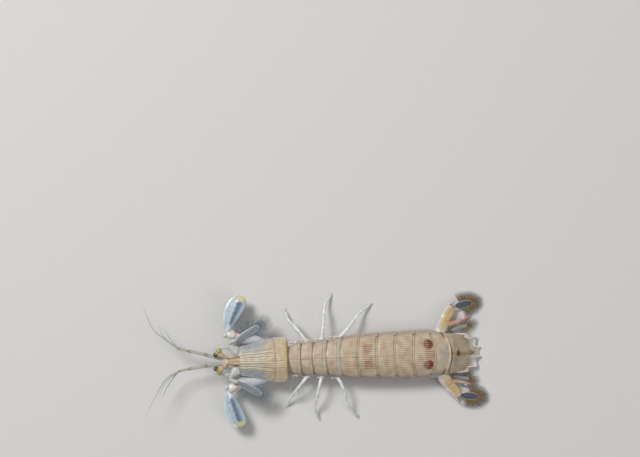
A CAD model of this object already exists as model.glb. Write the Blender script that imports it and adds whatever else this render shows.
import math
import bpy
import numpy as np
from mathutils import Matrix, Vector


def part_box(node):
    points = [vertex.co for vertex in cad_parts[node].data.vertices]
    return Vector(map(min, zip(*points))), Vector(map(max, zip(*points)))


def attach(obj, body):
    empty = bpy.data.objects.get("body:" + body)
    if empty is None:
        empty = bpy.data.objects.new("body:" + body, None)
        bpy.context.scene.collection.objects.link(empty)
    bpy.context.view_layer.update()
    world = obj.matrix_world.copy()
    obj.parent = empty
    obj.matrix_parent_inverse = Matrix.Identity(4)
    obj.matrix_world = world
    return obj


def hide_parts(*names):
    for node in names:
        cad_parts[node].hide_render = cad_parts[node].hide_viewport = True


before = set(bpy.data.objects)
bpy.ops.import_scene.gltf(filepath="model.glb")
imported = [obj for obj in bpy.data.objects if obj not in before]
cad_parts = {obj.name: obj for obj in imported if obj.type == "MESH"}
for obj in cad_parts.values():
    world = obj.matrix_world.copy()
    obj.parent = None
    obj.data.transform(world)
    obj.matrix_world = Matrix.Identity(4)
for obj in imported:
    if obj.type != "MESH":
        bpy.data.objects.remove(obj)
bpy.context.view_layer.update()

# Everything below is in millimetres along the body: x from the tip of the rostral plate to the tail,
# +y the animal's right side, z up from the floor. The carapace tells where that frame sits.
shellLow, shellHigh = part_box("carapace")
shift = np.array([shellLow.x * 1000, (shellLow.y + shellHigh.y) * 500, 0.0])
up = np.array([0.0, 0.0, 1.0])
sides = {"left": -1, "right": 1}
rng = np.random.default_rng(7)


# small number tools

def srgb(code):  # "#b5a37c" as the linear colour that the shaders take
    value = np.array([int(code[i:i + 2], 16) for i in (1, 3, 5)]) / 255
    return np.where(value <= 0.04045, value / 12.92, ((value + 0.055) / 1.055) ** 2.4)


def palette(settings):  # the colours among a dictionary's values, as the shaders take them
    return {key: srgb(code) for key, code in settings.items() if isinstance(code, str)}


def paintMix(first, second, share):  # first where share is 0, second where it is 1
    share = np.clip(share, 0, 1)[..., None]
    return first * (1 - share) + second * share


def bell(distance, width):  # 1 at the middle, falling off like exp(-(d/w)^2)
    return np.exp(-(distance / width) ** 2)


def rise(low, high, value):  # smooth step from 0 at low to 1 at high
    t = np.clip((value - low) / (high - low), 0, 1)
    return t * t * (3 - 2 * t)


def ripple(x, y, size, seed):  # smooth uneven field in -1..1: a sum of sine waves in random directions
    wave = np.random.default_rng(seed)
    total = 0
    for angle, phase, stretch in wave.uniform(0, 1, (7, 3)):
        turn = angle * 2 * math.pi
        step = (0.6 + stretch) * 2 * math.pi / size
        total = total + np.sin((x * math.cos(turn) + y * math.sin(turn)) * step + phase * 6.28)
    return total / 4


def smoothPath(points, count):  # Catmull-Rom curve through the points, at even steps of length
    points = np.asarray(points, float)
    ends = np.vstack([2 * points[0] - points[1], points, 2 * points[-1] - points[-2]])
    t = np.linspace(0, len(points) - 1 - 1e-9, 30 * len(points))
    i = t.astype(int)
    f = (t - i)[:, None]
    a, b, c, d = ends[i], ends[i + 1], ends[i + 2], ends[i + 3]
    dense = (2 * b + (c - a) * f + (2 * a - 5 * b + 4 * c - d) * f ** 2 + (3 * b - a - 3 * c + d) * f ** 3) / 2
    run = np.concatenate([[0], np.cumsum(np.linalg.norm(np.diff(dense, axis=0), axis=1))])
    at = np.linspace(0, run[-1], count)
    return np.stack([np.interp(at, run, dense[:, k]) for k in range(points.shape[1])], 1)


def table(pairs, place):  # value of a [place, value] table, read from a smooth curve through it
    curve = smoothPath(pairs, 200)
    return np.interp(place, curve[:, 0], curve[:, 1])


def unit(v):  # a row of vectors, each at length 1
    return v / np.maximum(np.linalg.norm(v, axis=-1, keepdims=True), 1e-9)


def mirrored(point, sign):  # a point or points given for the right side, on the side of this sign
    return np.array(point) * np.array([1, sign, 1])


# surfaces

def closedGrid(points, paint):
    # rows of closed rings, joined by quads; each end is closed by a fan to the ring's middle
    rows, columns = points.shape[:2]
    ring = np.arange(columns)
    following = (ring + 1) % columns
    row = np.arange(rows - 1)[:, None] * columns
    quads = np.stack([row + ring, row + following, row + columns + following, row + columns + ring], -1)
    verts = np.vstack([points.reshape(-1, 3), points[0].mean(0), points[-1].mean(0)])
    paint = np.broadcast_to(paint, points.shape)
    colours = np.vstack([paint.reshape(-1, 3), paint[0].mean(0), paint[-1].mean(0)])
    middle = np.full(columns, rows * columns)
    last = (rows - 1) * columns
    fans = [np.stack([middle, following, ring], 1), np.stack([middle + 1, last + ring, last + following], 1)]
    return outward({"verts": verts, "quads": quads.reshape(-1, 4), "tris": np.vstack(fans), "paint": colours})


def outward(part):  # turns every face round if the closed surface's volume comes out negative
    v, q, t = part["verts"] - part["verts"].mean(0), part["quads"], part["tris"]
    corners = np.vstack([q[:, [0, 1, 2]], q[:, [0, 2, 3]], t])
    volume = np.einsum("ij,ij->", v[corners[:, 0]], np.cross(v[corners[:, 1]], v[corners[:, 2]]))
    if volume < 0:
        part["quads"], part["tris"] = q[:, ::-1], t[:, ::-1]
    return part


def carried(path, half, thick, rows, columns, paint, lift=up, relief=None):
    # a profile carried along a path: p(t) + across * half(t) * cos(a) + rising * thick(t) * sin(a);
    # half and thick are tables over t, and thick is the same as half where it is None
    thick = half if thick is None else thick
    centre = smoothPath(path, rows)
    t = np.linspace(0, 1, rows)
    tangent = unit(np.gradient(centre, axis=0))
    across = unit(np.cross(lift, tangent))
    rising = np.cross(tangent, across)
    a = np.linspace(0, 2 * math.pi, columns, endpoint=False)
    wide = table(half, t)[:, None] * np.cos(a)
    high = table(thick, t)[:, None] * np.sin(a)
    if relief is not None:
        grow = relief(t[:, None], a[None, :])
        wide, high = wide * (1 + grow), high * (1 + grow)
    points = centre[:, None] + wide[..., None] * across[:, None] + high[..., None] * rising[:, None]
    colour = paint(t[:, None], a[None, :], points) if callable(paint) else paint
    return closedGrid(points, colour)


def spine(start, end, radius, paint, bend=(0, 0, 0), tip=None):
    # a thorn: radius falls along (1 - t^1.5), and the tip may have a colour of its own
    start, end = np.asarray(start, float), np.asarray(end, float)
    middle = (start + end) / 2 + np.asarray(bend, float)

    def shade(t, a, points):
        return paintMix(paint, paint if tip is None else tip, rise(0.3, 0.9, t + 0 * a))

    return carried([start, middle, end], [[0, radius], [0.5, radius * 0.66], [1, radius * 0.06]], None, 9, 8, shade)


def strands(roots, tips, sag, radius, rootPaint, tipPaint, rows=6, flat=1.0):
    # many fine bristles at once: root + (tip - root) * s + sag * 4s(1 - s), as three-sided tubes that taper
    count = len(roots)
    s = np.linspace(0, 1, rows)
    centre = roots[:, None] + (tips - roots)[:, None] * s[:, None] + sag[:, None] * (4 * s * (1 - s))[:, None]
    along = unit(tips - roots)
    across = unit(np.cross(up, along))
    rising = np.cross(along, across)
    a = np.arange(3) * 2 * math.pi / 3 + math.pi / 2
    size = radius * (1 - 0.85 * s ** 1.5)
    ring = across[:, None, None] * np.cos(a)[:, None] * flat + rising[:, None, None] * np.sin(a)[:, None]
    points = centre[:, :, None] + ring * size[None, :, None, None]
    base = (np.arange(count) * rows * 3)[:, None, None]
    row = (np.arange(rows - 1) * 3)[:, None]
    here, following = np.arange(3), (np.arange(3) + 1) % 3
    row = base + row
    quads = np.stack([row + here, row + following, row + 3 + following, row + 3 + here], -1)
    end = (rows - 1) * 3
    corner = base[:, 0]
    tris = np.vstack([corner + np.array([0, 2, 1]), corner + np.array([end, end + 1, end + 2])])
    shade = rootPaint * (1 - s[:, None]) + tipPaint * s[:, None]
    paint = np.broadcast_to(shade[None, :, None], points.shape).reshape(-1, 3)
    low, high = roots.min(0), roots.max(0)
    patch = 0.003  # each bristle's own place in the picture of the fringe's colours, as a share of it
    place = 0.05 + 0.9 * (roots[:, :2] - low[:2]) / np.maximum(high[:2] - low[:2], 1e-6)
    local = np.stack(np.broadcast_arrays(s[:, None] * patch, here * patch / 2), -1)
    uv = (place[:, None, None] + local).reshape(-1, 2)
    return outward({"verts": points.reshape(-1, 3), "quads": quads.reshape(-1, 4), "tris": tris,
                    "paint": paint, "uv": uv})


def mottled(first, second, low, swing, size, seed):
    # a paint function: first and second mixed by a smooth uneven field of low +- swing
    def shade(t, a, points):
        return paintMix(first, second, low + swing * ripple(points[..., 0] * 2, points[..., 1] * 2, size, seed))
    return shade


def buildPiece(name, parts, material, slot, *nodes):
    # joins the parts into one mesh in metres, with its paint, and hands it to the frame
    offsets = np.cumsum([0] + [len(p["verts"]) for p in parts])
    verts = (np.vstack([p["verts"] for p in parts]) + shift) * 0.001
    quads = np.vstack([p["quads"] + o for p, o in zip(parts, offsets)])
    tris = np.vstack([p["tris"] + o for p, o in zip(parts, offsets)])
    mesh = bpy.data.meshes.new(name)
    loops = np.concatenate([quads.ravel(), tris.ravel()]).astype(np.int32)
    totals = np.concatenate([np.full(len(quads), 4), np.full(len(tris), 3)]).astype(np.int32)
    mesh.vertices.add(len(verts))
    mesh.vertices.foreach_set("co", verts.ravel().astype(np.float32))
    mesh.loops.add(len(loops))
    mesh.loops.foreach_set("vertex_index", loops)
    mesh.polygons.add(len(totals))
    mesh.polygons.foreach_set("loop_start", np.concatenate([[0], np.cumsum(totals)[:-1]]).astype(np.int32))
    mesh.update(calc_edges=True)
    mesh.polygons.foreach_set("use_smooth", np.ones(len(totals), bool))
    rgba = np.ones((len(verts), 4), np.float32)
    rgba[:, :3] = np.vstack([p["paint"] for p in parts])
    mesh.attributes.new("paint", "FLOAT_COLOR", "POINT").data.foreach_set("color", rgba.ravel())
    if any("uv" in p for p in parts):
        places = np.vstack([p.get("uv", np.full((len(p["verts"]), 2), 0.5)) for p in parts])
        mesh.uv_layers.new(name="OFBake").data.foreach_set("uv", places[loops].astype(np.float32).ravel())
    mesh.validate()
    mesh.set_sharp_from_angle(angle=math.radians(60))
    mesh.materials.append(material)
    piece = bpy.data.objects.new(name, mesh)
    bpy.context.scene.collection.objects.link(piece)
    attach(piece, "root")
    if nodes:
        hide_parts(*nodes)


# materials

coating = {"grainDepth": 0.00006, "coatRoughness": 0.18, "glowRadius": (0.0016, 0.0011, 0.0008), "specular": 0.45}


def shellFinish(name, look):
    # painted shell: the paint attribute, mottled and flecked, with pits, grain and an uneven gloss
    material = bpy.data.materials.new(name)
    material.use_nodes = True
    nodes, links = material.node_tree.nodes, material.node_tree.links
    shader = nodes["Principled BSDF"]
    place = nodes.new("ShaderNodeTexCoord")
    paint = nodes.new("ShaderNodeAttribute")
    paint.attribute_name = "paint"

    def noise(scale, detail, rough=0.6):
        node = nodes.new("ShaderNodeTexNoise")
        node.inputs["Scale"].default_value = scale
        node.inputs["Detail"].default_value = detail
        node.inputs["Roughness"].default_value = rough
        links.new(place.outputs["Object"], node.inputs["Vector"])
        return node.outputs["Fac"]

    def remap(value, low, high, outLow, outHigh):
        node = nodes.new("ShaderNodeMapRange")
        for key, number in zip(("From Min", "From Max", "To Min", "To Max"), (low, high, outLow, outHigh)):
            node.inputs[key].default_value = number
        links.new(value, node.inputs["Value"])
        return node.outputs["Result"]

    mottle = remap(noise(look["mottleScale"], 4), 0.35, 0.65, 1 - look["mottle"], 1 + look["mottle"] * 0.5)
    tinted = nodes.new("ShaderNodeVectorMath")
    tinted.operation = "SCALE"
    links.new(paint.outputs["Color"], tinted.inputs[0])
    links.new(mottle, tinted.inputs["Scale"])
    flecks = remap(noise(look["fleckScale"], 2, 0.4), 0.6, 0.68, 0.0, look["fleck"])
    mix = nodes.new("ShaderNodeMix")
    mix.data_type = "RGBA"
    links.new(flecks, mix.inputs["Factor"])
    links.new(tinted.outputs["Vector"], mix.inputs["A"])
    mix.inputs["B"].default_value = (*srgb(look["fleckColour"]), 1)
    links.new(mix.outputs["Result"], shader.inputs["Base Color"])
    low, high = look["roughness"]
    links.new(remap(noise(look["fleckScale"] * 0.3, 3), 0.3, 0.7, low, high), shader.inputs["Roughness"])
    bump = nodes.new("ShaderNodeBump")
    bump.inputs["Strength"].default_value = look["bump"]
    bump.inputs["Distance"].default_value = coating["grainDepth"]
    links.new(noise(look["grainScale"], 5, 0.65), bump.inputs["Height"])
    links.new(bump.outputs["Normal"], shader.inputs["Normal"])
    shader.inputs["Coat Weight"].default_value = look["coat"]
    shader.inputs["Coat Roughness"].default_value = coating["coatRoughness"]
    shader.inputs["Subsurface Weight"].default_value = look["glow"]
    shader.inputs["Subsurface Radius"].default_value = coating["glowRadius"]
    shader.inputs["Subsurface Scale"].default_value = 1.0
    shader.inputs["Specular IOR Level"].default_value = coating["specular"]
    return material


looks = {
    "plain": {"mottleScale": 420, "mottle": 0.12, "fleckScale": 5200, "fleck": 0.25, "fleckColour": "#6a5530",
              "roughness": (0.34, 0.55), "bump": 0.3, "grainScale": 6500, "coat": 0.22, "glow": 0.14},
    "limb": {"mottleScale": 700, "mottle": 0.1, "fleckScale": 6000, "fleck": 0.15, "fleckColour": "#8d8a80",
             "roughness": (0.28, 0.48), "bump": 0.25, "grainScale": 7000, "coat": 0.2, "glow": 0.3},
    "claw": {"mottleScale": 600, "mottle": 0.12, "fleckScale": 5600, "fleck": 0.15, "fleckColour": "#dfe7ea",
             "roughness": (0.16, 0.34), "bump": 0.15, "grainScale": 5200, "coat": 0.5, "glow": 0.15},
    "cornea": {"mottleScale": 900, "mottle": 0.15, "fleckScale": 7800, "fleck": 0.35, "fleckColour": "#5c5a1c",
               "roughness": (0.07, 0.14), "bump": 0.05, "grainScale": 9000, "coat": 0.9, "glow": 0.2},
    "tail": {"mottleScale": 500, "mottle": 0.14, "fleckScale": 5400, "fleck": 0.22, "fleckColour": "#3a2a18",
             "roughness": (0.32, 0.52), "bump": 0.4, "grainScale": 6000, "coat": 0.15, "glow": 0.15},
    "fringe": {"mottleScale": 900, "mottle": 0.15, "fleckScale": 7000, "fleck": 0.0, "fleckColour": "#404040",
               "roughness": (0.3, 0.5), "bump": 0.1, "grainScale": 8000, "coat": 0.1, "glow": 0.2},
}
finishes = {name: shellFinish("finish_" + name, look) for name, look in looks.items()}
print("finishes ready:", len(finishes))


# trunk plates

trunk = {"keels": 35, "keelHeight": 0.085, "lip": 0.4, "rows": 44, "samples": 11, "widest": 80,
         "names": ["thorax_5", "thorax_6", "thorax_7", "thorax_8", "abdomen_1", "abdomen_2",
                   "abdomen_3", "abdomen_4", "abdomen_5", "abdomen_6"],
         "neck": [0.84, 0.86, 0.88, 0.9, 0.955, 0.965, 0.965, 0.965, 0.965, 0.96],
         "thoracic": 4, "patched": 5, "spotted": 8, "last": 9, "sideHairs": 46, "hairRadius": 0.02}
# at, half width, back height, side edge height, belly height, how far the sides lag behind
seams = np.array([
    [23.7, 6.0, 12.5, 8.0, 6.0, 0.2],
    [27.7, 7.0, 12.7, 7.8, 5.9, 0.5],
    [32.3, 7.3, 12.9, 7.5, 5.8, 0.8],
    [37.8, 7.7, 13.0, 7.2, 5.7, 0.9],
    [43.5, 8.4, 13.2, 6.9, 5.6, 0.9],
    [50.8, 9.3, 13.4, 6.5, 5.4, 1.0],
    [58.1, 9.6, 13.4, 6.4, 5.3, 1.0],
    [65.4, 9.85, 13.3, 6.3, 5.2, 1.0],
    [72.8, 10.05, 12.9, 6.0, 4.9, 0.9],
    [81.6, 10.05, 11.9, 5.2, 4.0, -2.7],
    [87.6, 9.1, 9.9, 4.6, 3.4, -2.9],
])
shellPaint = palette({"base": "#c0a98c", "pale": "#d0c2aa", "line": "#7c6340", "joint": "#9c8a4a",
                      "pink": "#bb8770", "grey": "#aea69c", "edge": "#bcc0be", "lobe": "#ddd4c8",
                      "spot": "#6f2810", "patch": "#72221a", "rust": "#94502a"})


def platePaint(index, share, phase, along, v):
    # base with thin brown lines in the grooves, a yellow-olive hind band and pink sides
    tone = shellPaint
    thoracic, last = index < trunk["thoracic"], index == trunk["last"]
    side = np.abs(share)
    colour = paintMix(tone["base"], tone["pale"], 0.5 + 0.5 * ripple(along * 2, share * 20, 9, 11 + index))
    groove = bell(np.abs(phase - np.round(phase)), 0.17) * (1 - 0.45 * rise(0.45, 0.75, side))
    lineShade = paintMix(tone["line"], tone["rust"], 0.5 + 0.5 * ripple(along, phase * 0.7, 7, 61 + index))
    broken = np.clip(0.7 + 0.45 * ripple(along * 3, phase * 3, 1.7, 31 + index), 0.25, 1)
    strength = (0.28 if last else 0.85) * rise(0.02, 0.2, v) * (1 - rise(0.88, 0.94, v) * 0.5)
    colour = paintMix(colour, lineShade, groove * broken * strength)
    if not last:  # olive joint line
        place = 0.82 if thoracic else 0.945
        colour = paintMix(colour, tone["joint"] * 0.8, 0.7 * bell(v - place, 0.022) * (1 - rise(0.82, 0.9, side)))
    if thoracic:  # the blue-grey band behind the joint line
        colour = paintMix(colour, tone["edge"], 0.5 * bell(v - 0.93, 0.07) * (1 - rise(0.85, 0.93, side)))
    colour = paintMix(colour, tone["grey"], 0.7 * rise(0.74, 0.84, side))
    sideBand = bell(side - 0.9, 0.03) * rise(0.02, 0.15, v) * (1 - rise(0.9, 0.98, v))
    colour = paintMix(colour, tone["pink"], (0.2 if last else 0.75) * sideBand)
    colour = paintMix(colour, tone["edge"], 0.65 * rise(0.95, 0.98, side))
    if not last:  # a row of dark beads along the hind edge
        beads = (0.6 + 0.4 * np.cos(phase * 6 * math.pi)) * (1 - rise(0.8, 0.9, side))
        colour = paintMix(colour, tone["line"] * 0.6, 0.85 * bell(v - 0.978, 0.012) * beads)
    colour = paintMix(colour, tone["line"], 0.2 * (1 - rise(0.0, 0.1, v)))
    if index < trunk["spotted"]:  # thin dark line on the midline, fainter to the rear
        midline = (0.9 if index <= trunk["thoracic"] else 0.35) * bell(share, 0.012)
        colour = paintMix(colour, tone["rust"] * 0.4, midline * (0.6 + 0.4 * ripple(along * 4, share, 1.5, 5)))
    if 2 <= index <= trunk["thoracic"]:  # a small dark spot in each front corner
        colour = paintMix(colour, tone["line"] * 0.2, 0.85 * bell(side - 0.86, 0.02) * bell(v - 0.14, 0.05))
    if trunk["thoracic"] < index < trunk["last"]:  # small dark ticks in the hind corners
        colour = paintMix(colour, tone["line"] * 0.35, 0.8 * bell(side - 0.8, 0.02) * rise(0.86, 0.94, v))
    return colour


def plateMarks(index, colour, share, phase, x, y, v):
    # red-brown patches made of short dashes that sit on the grooves
    tone = shellPaint
    groove = bell(np.abs(phase - np.round(phase)), 0.24)
    if index == trunk["patched"]:
        reach = rise(0.28, 0.36, v) * (1 - rise(0.72, 0.86, v))
        span = 1 - rise(4.3, 5.2, np.abs(y))
        heavy = 0.45 + 0.55 * rise(1.2, 2.2, np.abs(y))
        dash = np.clip(0.75 + 0.5 * ripple(x * 3, y * 2, 1.4, 71), 0, 1)
        colour = paintMix(colour, tone["patch"], reach * span * heavy * dash * np.clip(groove * 1.5 + 0.04, 0, 1))
    if index == trunk["spotted"]:
        centre = np.abs(y) - 4.15
        roundness = 1 - (centre / 2.15) ** 2 - (np.clip(v - 0.72, -1, 1) / 0.26) ** 2
        ragged = roundness + 0.35 * ripple(x * 3, y * 3, 1.6, 77)
        mark = rise(0.0, 0.3, ragged) * np.clip(groove * 1.6 + 0.8 * rise(0.62, 0.86, v) + 0.2, 0, 1)
        colour = paintMix(colour, tone["spot"], mark * 0.97)
        between = rise(0.5, 0.6, v) * (1 - rise(0.9, 0.97, v)) * (1 - rise(1.6, 2.2, np.abs(y))) * groove
        colour = paintMix(colour, tone["rust"] * 0.7, between * 0.8)
    if index == trunk["last"]:
        corner = rise(0.62, 0.78, np.abs(share)) * rise(0.62, 0.9, v) * (1 - rise(0.93, 1, np.abs(share)))
        colour = paintMix(colour, tone["line"] * 0.6, corner * 0.8)
        middle = 0.75 * bell(y, 2.6) * rise(0.1, 0.5, v) * (1 - rise(0.9, 1, v))
        colour = paintMix(colour, tone["grey"] * 0.9, middle)
        colour = paintMix(colour, tone["pale"] * 1.1, 0.7 * rise(0.9, 0.96, v))
    return colour


def trunkPlate(index):
    # ring at v: y = half * sin(a)/sin(80), z = edge + (top - edge) * (cos a - cos 80)/(1 - cos 80), with keels
    # on it; the whole ring grows from the neck to full size, runs past its seam as a thin lip and turns in
    front, back = seams[index], seams[index + 1]
    neck = trunk["neck"][index]
    length = back[0] - front[0]
    lipShare = trunk["lip"] / length
    v = np.concatenate([np.linspace(0, 0.9, trunk["rows"]), np.linspace(0.91, 1 + lipShare, 14),
                        [1 + lipShare * 1.05, 1 + lipShare, 1.0, 0.85]])
    inner = np.concatenate([np.ones(len(v) - 4), [0.985, 0.968, 0.962, 0.9]])
    scale = np.interp(v, [0, 0.22, 0.8, 1], [neck * 0.99, neck + 0.35 * (1 - neck), 1, 1]) * inner
    lay = front + (back - front) * np.clip(v, 0, 1)[:, None]
    x = front[0] + 0.15 + (length - 0.15) * v
    if index == 0:  # the first plate reaches forward under the carapace
        v = np.concatenate([[0, 0], v])
        x = np.concatenate([[22.35, 23.5], x])
        scale, inner = np.concatenate([[0.82, 0.83], scale]), np.concatenate([[1, 1], inner])
        lay = front + (back - front) * np.clip(v, 0, 1)[:, None]
    half, edge, belly, sweep = lay[:, 1] * scale, lay[:, 3], lay[:, 4], lay[:, 5]
    top = edge + (lay[:, 2] - edge) * scale
    columns = trunk["keels"] * trunk["samples"]
    widest = math.radians(trunk["widest"])
    u = np.linspace(-1, 1, columns + 1)
    a = u * widest
    share = np.sin(a) / math.sin(widest)
    lift = (np.cos(a) - math.cos(widest)) / (1 - math.cos(widest))
    phase = (u + 1) / 2 * trunk["keels"]
    v, phase = v[:, None], phase[None, :]
    keel = bell(np.abs(phase - np.floor(phase) - 0.5), 0.19)
    strong = 1 + 0.5 * (np.abs(((np.floor(phase) - 17) % 6)) < 0.5)
    outside = inner[:, None] > 0.99
    fade = rise(0.08, 0.3, v) * (1 - rise(1.0, 1.0 + lipShare, v) * 0.5) * outside
    beads = 1 + 0.22 * ripple(v * length * 3, phase * 2.3, 1.1, 91 + index)
    low = 0.3 if index == trunk["last"] else 1
    relief = low * trunk["keelHeight"] * keel * strong * fade * beads + 0.03 * bell(v - 0.93, 0.03)
    sideSpread = half[:, None] * share + relief * np.sin(a)
    height = edge[:, None] + (top - edge)[:, None] * lift + relief * np.cos(a)
    tooth = 0.09 * low * keel * rise(0.93, 1 + lipShare, v) * outside
    alongX = x[:, None] + sweep[:, None] * np.abs(share) ** 2 + tooth
    upper = np.stack([alongX, sideSpread, height], -1)
    lowShare = np.linspace(0.992, -0.992, 60)
    hem = np.minimum(0.9, (edge - belly) * 0.8)
    lowLift = np.interp(np.abs(lowShare), [0, 0.7, 0.86, 0.96, 1], [0, 0, 0.12, 0.75, 1.0])
    lowZ = belly[:, None] + (edge - hem * 0.25 - belly)[:, None] * lowLift
    lowX = x[:, None] + sweep[:, None] * np.abs(lowShare) ** 2
    lower = np.stack([lowX, half[:, None] * lowShare + 0 * lowX, lowZ + 0 * lowX], -1)
    share, v, phase = np.broadcast_to(share, keel.shape), v + 0 * phase, phase + 0 * v
    colour = platePaint(index, share, phase, alongX, v)
    colour = plateMarks(index, colour, share, phase, alongX, sideSpread, v)
    under = paintMix(shellPaint["pale"], shellPaint["grey"], 0.4 + 0.3 * ripple(lowX * 1.5, lower[..., 1], 4, 3))
    points = np.concatenate([upper, lower], 1)
    return closedGrid(points, np.concatenate([colour, under], 1))


def sideLobes(index, sign):  # two small pale lobes at the side edge of a thoracic plate
    front, back = seams[index], seams[index + 1]
    middle = (front + back) / 2
    x, y, z = middle[0] + front[5], sign * middle[1], middle[3] - 0.3

    def shade(t, a, points):
        return paintMix(shellPaint["lobe"], shellPaint["pink"], 0.6 * rise(0.2, 0.8, -np.cos(a) * sign) + 0 * t)

    lobes = []
    for step, size in ((-1.0, 0.85), (0.75, 1.05)):
        path = [[x + step - size, y * 0.95, z], [x + step, y + 0.1 * sign, z - 0.05], [x + step + size, y * 0.97, z]]
        lobes.append(carried(path, [[0, 0.15], [0.5, 0.55 * size], [1, 0.12]], [[0, 0.15], [0.5, 0.5], [1, 0.12]],
                             18, 20, shade))
    return lobes


for index, name in enumerate(trunk["names"]):
    parts = [trunkPlate(index)]
    if index < trunk["thoracic"]:
        parts += sideLobes(index, -1) + sideLobes(index, 1)
    buildPiece("plate_" + name, parts, finishes["plain"], "shell", name)


def sideHair(side, sign):  # short pale bristles along the plates' side edges
    parts, count = [], trunk["sideHairs"]
    for front, back in zip(seams[:-1], seams[1:]):
        v = rng.uniform(0.12, 0.98, count)
        lay = front + (back - front) * v[:, None]
        place = lay[:, 0] + lay[:, 5] * 0.9
        root = np.stack([place, sign * lay[:, 1] * np.interp(v, [0, 0.22], [0.93, 0.98]), lay[:, 3] - 0.15], 1)
        reach = np.stack([rng.uniform(0.3, 0.8, count), sign * rng.uniform(0.35, 0.75, count),
                          rng.uniform(-0.5, 0.1, count)], 1)
        parts.append(strands(root, root + reach, 0 * reach, trunk["hairRadius"], shellPaint["pale"],
                             shellPaint["edge"], rows=4))
    buildPiece(f"side_hair_{side}", parts, finishes["fringe"], "shell")


for side, sign in sides.items():
    sideHair(side, sign)
print("trunk plates:", len(trunk["names"]))


# carapace with its rostral plate

shield = {"front": 3.6, "back": 23.4, "keels": 27, "strongKeels": [4, 8, 10, 13, 16, 18, 22], "keelHeight": 0.085,
          "shell": 1.0, "rows": 120, "samples": 10,
          "half": [[3.6, 4.9], [4.6, 5.8], [8.8, 6.6], [14.2, 7.9], [17.4, 8.7], [20.6, 8.9], [22.5, 8.4],
                    [23.4, 7.0]],
          "top": [[3.6, 10.9], [9, 12.1], [16, 13.1], [20, 13.2], [23.4, 12.9]],
          "edge": [[3.6, 9.2], [9, 8.9], [18, 8.8], [23.4, 9.2]],
          "cream": "#cfc2a6", "gold": "#94722a", "brown": "#5f421a", "bluish": "#a7afb6", "orange": "#c29468",
          "rim": "#a08a28"}


def shieldHeight(x, share):
    low = table(shield["edge"], x)
    return low + (table(shield["top"], x) - low) * (1 - np.abs(share) ** 2.1)


def carapacePart():
    # z = edge + (top - edge)(1 - |share|^2.1), with keels, two long grooves and the cross groove pressed in
    last = math.radians(82.8)
    u = np.linspace(-1, 1, shield["keels"] * shield["samples"] + 1)[None, :]
    share = np.sin(u * last) / math.sin(last)
    x = np.linspace(shield["front"], shield["back"], shield["rows"])[:, None]
    half = table(shield["half"], x)
    slant = 0.55 * (1 - np.minimum(1, (x - 3) / 4)) * share ** 2
    phase = (u + 1) / 2 * shield["keels"]
    keel = bell(np.abs(phase - np.floor(phase) - 0.5), 0.2)
    named = np.isin(np.floor(phase), shield["strongKeels"])
    crossLine = 18.8 - 1.5 * share ** 2
    crossing = bell(x - crossLine, 0.42)
    strength = shield["keelHeight"] * (1 + 0.9 * named) * (1 - 0.85 * crossing)
    strength = strength * rise(3.8, 6, x) * (1 - 0.6 * rise(22.4, 23.4, x))
    long = bell(np.abs(share) - 0.36 - 0.05 * rise(8, 17, x), 0.035) * (1 - rise(17.5, 18.5, x))
    back = rise(shield["back"] - 0.7, shield["back"], x)
    relief = keel * strength - 0.16 * crossing - 0.1 * long - 0.35 * back ** 2
    top = shieldHeight(x, share) + relief
    thin = shield["shell"] * np.sqrt(np.clip(1 - np.abs(share) ** 8, 0.02, 1)) * (1 - 0.55 * back)
    bottom = shieldHeight(x, share) - thin
    upper = np.stack([x + slant, half * share, top], -1)
    lower = np.stack([x + slant, half * share * 0.995, bottom], -1)[:, ::-1][:, 5:-5:5]
    tone = palette(shield)
    field = ripple(x * 1.5, half * share, 6, 21) + 0 * u
    colour = paintMix(tone["cream"], tone["cream"] * 1.12, 0.5 + 0.5 * field)
    colour = paintMix(colour, tone["bluish"], rise(0.3, 0.7, np.abs(share)) * (1 - rise(10, 19, x)) * 0.9)
    colour = paintMix(colour, tone["bluish"] * 1.15, bell(np.abs(share) - 0.22, 0.07) * (1 - rise(12, 17, x)) * 0.6)
    broken = np.clip(0.75 + 0.4 * ripple(x * 1.2, phase * 2, 3, 8), 0.25, 1)
    groove = bell(np.abs(phase - np.round(phase)), 0.17) * broken
    lineShade = paintMix(tone["gold"], tone["brown"], 0.5 + 0.5 * ripple(x, phase * 1.3, 6, 14))
    colour = paintMix(colour, lineShade, groove * 0.8 * (1 - 0.5 * rise(18.2, 19.2, x)))
    for place in (0.2, 0.37, 0.56):  # the long brown lines of the front two thirds
        spread = place - 0.03 * rise(4, 16, x)
        colour = paintMix(colour, tone["brown"], bell(np.abs(share) - spread, 0.011) * (1 - rise(16, 18, x)) * 0.75)
    colour = paintMix(colour, tone["brown"], bell(np.abs(share) - 0.02, 0.03) * 0.15 * rise(12, 17, x))
    colour = paintMix(colour, tone["orange"], rise(13, 20, x) * bell(np.abs(share) - 0.45, 0.4) * 0.4)
    colour = paintMix(colour, tone["brown"], 0.28 * crossing * (0.6 + 0.4 * ripple(x * 2, share * 14, 3, 9)))
    colour = paintMix(colour, tone["rim"], rise(22.5, 23.0, x) * 0.75 * (1 - rise(0.85, 0.95, np.abs(share))))
    colour = paintMix(colour, tone["bluish"] * 1.25, rise(0.93, 0.985, np.abs(share)) * 0.7)
    under = np.broadcast_to(tone["cream"] * 0.8, lower.shape)
    return closedGrid(np.concatenate([upper, lower], 1), np.concatenate([colour, under], 1))


rostral = {"half": [[0, 0.95], [0.2, 1.2], [1.2, 1.38], [2.6, 1.6], [4.3, 1.9]], "top": 10.9, "thick": 0.9,
           "base": "#c6b193", "edge": "#85602a", "line": "#9b7430"}


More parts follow.
